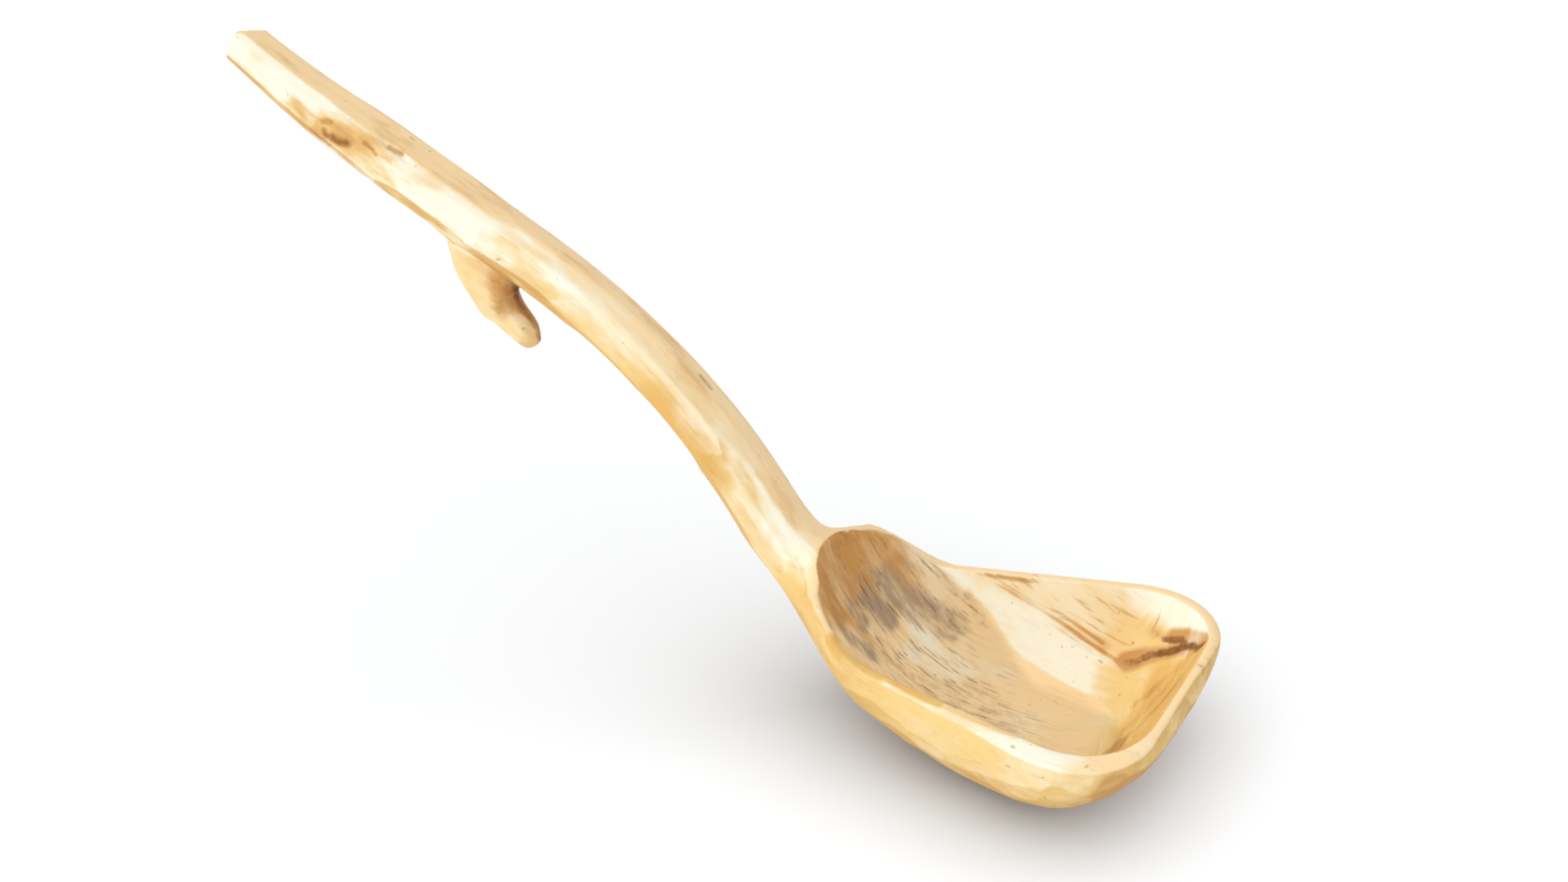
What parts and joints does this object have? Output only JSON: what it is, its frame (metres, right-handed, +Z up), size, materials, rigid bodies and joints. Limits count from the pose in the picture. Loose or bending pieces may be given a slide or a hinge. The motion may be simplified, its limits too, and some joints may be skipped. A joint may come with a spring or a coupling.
{
  "type": "carved wooden ladle",
  "caption": "Wooden ladle carved from a crooked branch: fan-shaped scoop with a thick rim, long bent handle and a branch-stub hook under it.",
  "frame": {"origin": "middle of the flat base under the bowl, on the surface that the ladle is set down on", "axes": "+X from the handle towards the bowl's lip, +Y across the bowl, +Z up"},
  "size_m": [0.35, 0.109, 0.2065],
  "materials": {
    "wood": "knife-cut pale wood, dry, with grain, knots and grey streaks"
  },
  "bodies": {
    "root": {"bowl": "wood", "neck": "wood", "shank": "wood", "hook": "wood", "grip": "wood"}
  },
  "joints": []
}
